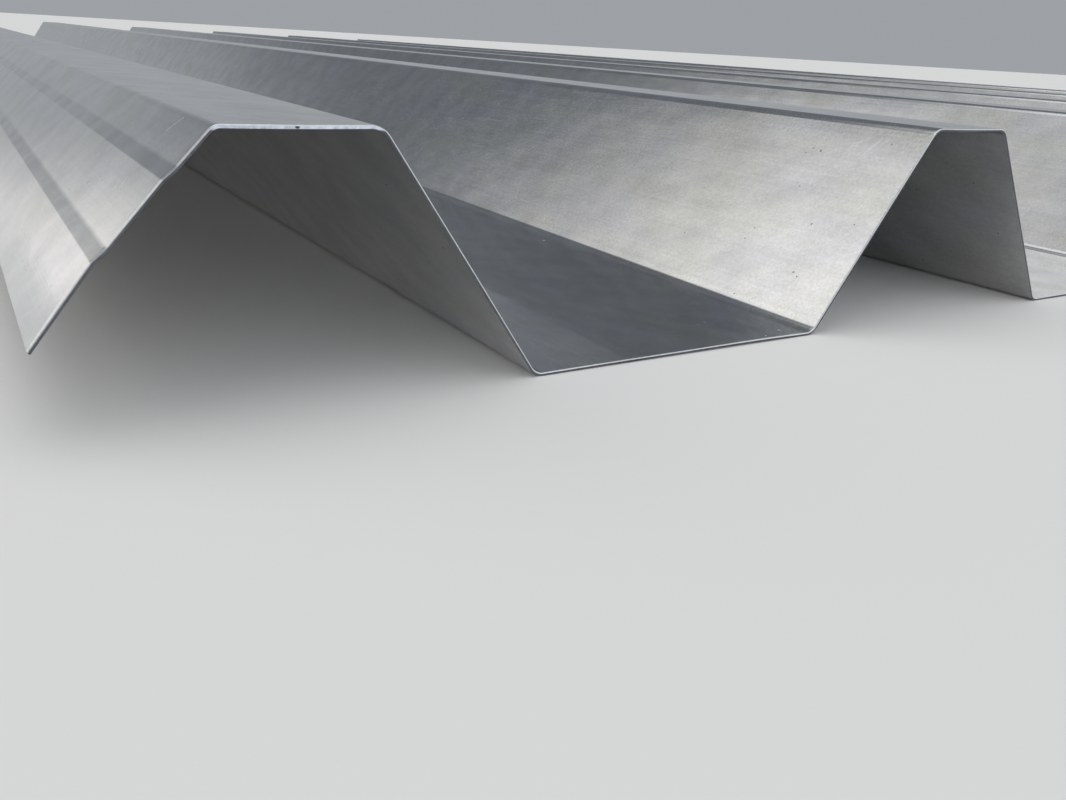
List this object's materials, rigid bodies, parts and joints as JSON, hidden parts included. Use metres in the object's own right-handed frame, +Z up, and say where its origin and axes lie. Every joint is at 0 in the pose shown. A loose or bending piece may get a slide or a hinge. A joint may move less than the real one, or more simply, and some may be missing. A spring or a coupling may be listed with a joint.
{
  "type": "trapezoidal corrugated metal sheet",
  "caption": "Galvanised steel trapezoidal roofing or decking sheet with narrow raised ribs, wide flat valleys and a lap rib along each long edge.",
  "frame": {"origin": "centre of the sheet's bounding box at the level of the valley undersides, which lie on the floor", "axes": "+Z up through the ribs, Y along the sheet's length and its ribs, +X across the sheet from the stiffened open lap edge to the short underlap edge"},
  "size_m": [1.0848, 2.5, 0.0568],
  "materials": {
    "galvanised_steel": "satin"
  },
  "bodies": {
    "root": {"profiled_sheet": "galvanised_steel"}
  },
  "joints": []
}
